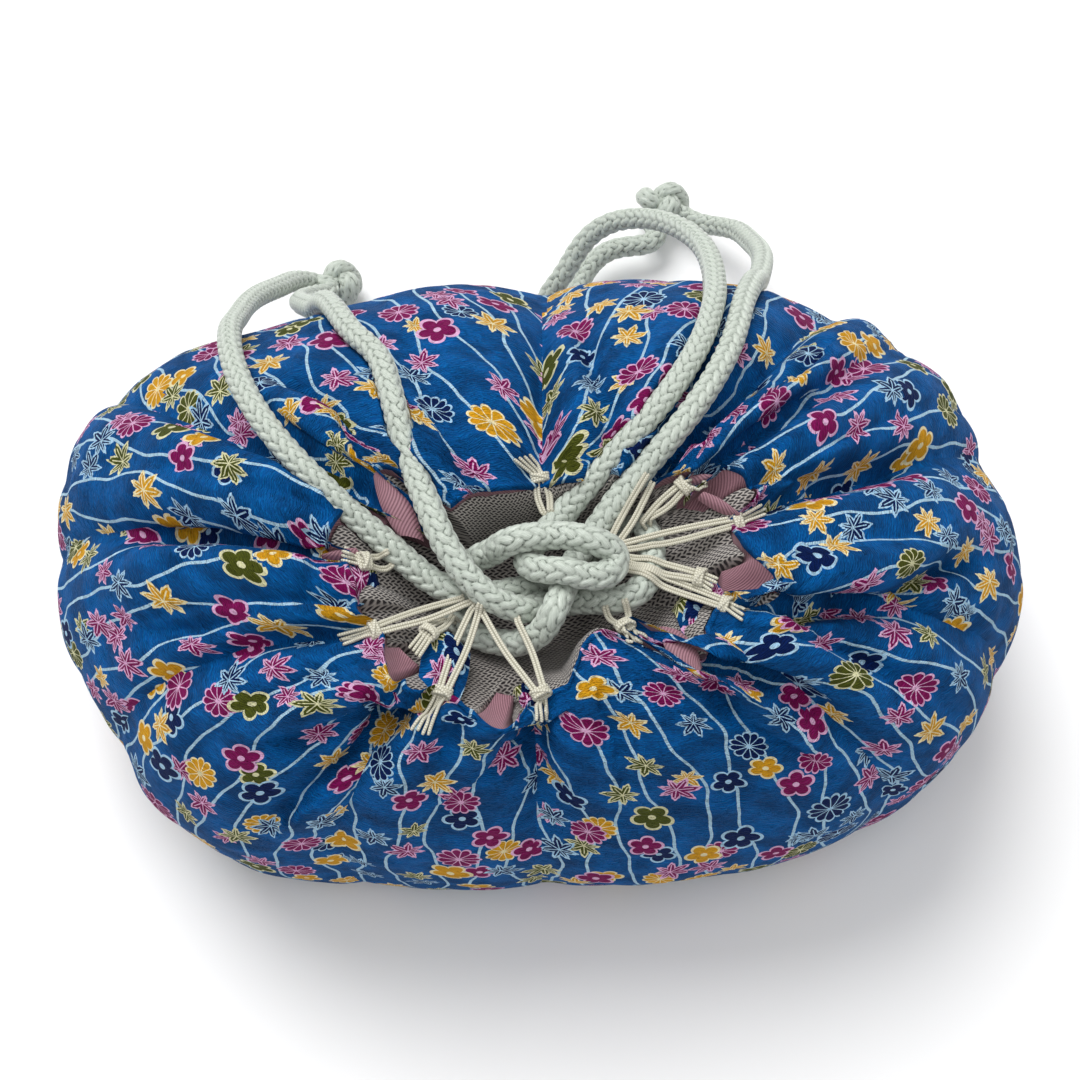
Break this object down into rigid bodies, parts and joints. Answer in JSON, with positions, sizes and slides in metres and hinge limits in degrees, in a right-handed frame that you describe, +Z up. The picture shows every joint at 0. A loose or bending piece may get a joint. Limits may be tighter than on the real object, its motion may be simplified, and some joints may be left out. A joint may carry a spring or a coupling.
{
  "type": "drawstring pouch",
  "caption": "Gathered oval cloth pouch in blue floral crepe, drawn shut by two braided drawstrings through thin loop cords at its mouth",
  "frame": {"origin": "middle of the base of the cloth bag, on the floor", "axes": "+X along the bag's long side, +Y towards the side where the drawstring ends lie, +Z up"},
  "size_m": [0.2368, 0.2156, 0.1021],
  "materials": {
    "crepe": "matte",
    "lining": "matte",
    "woven": "matte",
    "thick_cord": "satin",
    "thin_cord": "satin",
    "base_cloth": "matte"
  },
  "bodies": {
    "root": {"outer_shell": "crepe", "lining_pink": "lining", "inner_cloth": "woven", "base_panel": "base_cloth", "drawstring_left": "thick_cord", "drawstring_right": "thick_cord", "end_knot_left": "thick_cord", "end_knot_right": "thick_cord", "loop_01": "thin_cord", "loop_02": "thin_cord", "loop_03": "thin_cord", "loop_04": "thin_cord", "loop_05": "thin_cord", "loop_06": "thin_cord", "loop_07": "thin_cord", "loop_08": "thin_cord", "loop_09": "thin_cord", "loop_10": "thin_cord", "loop_11": "thin_cord"}
  },
  "joints": []
}
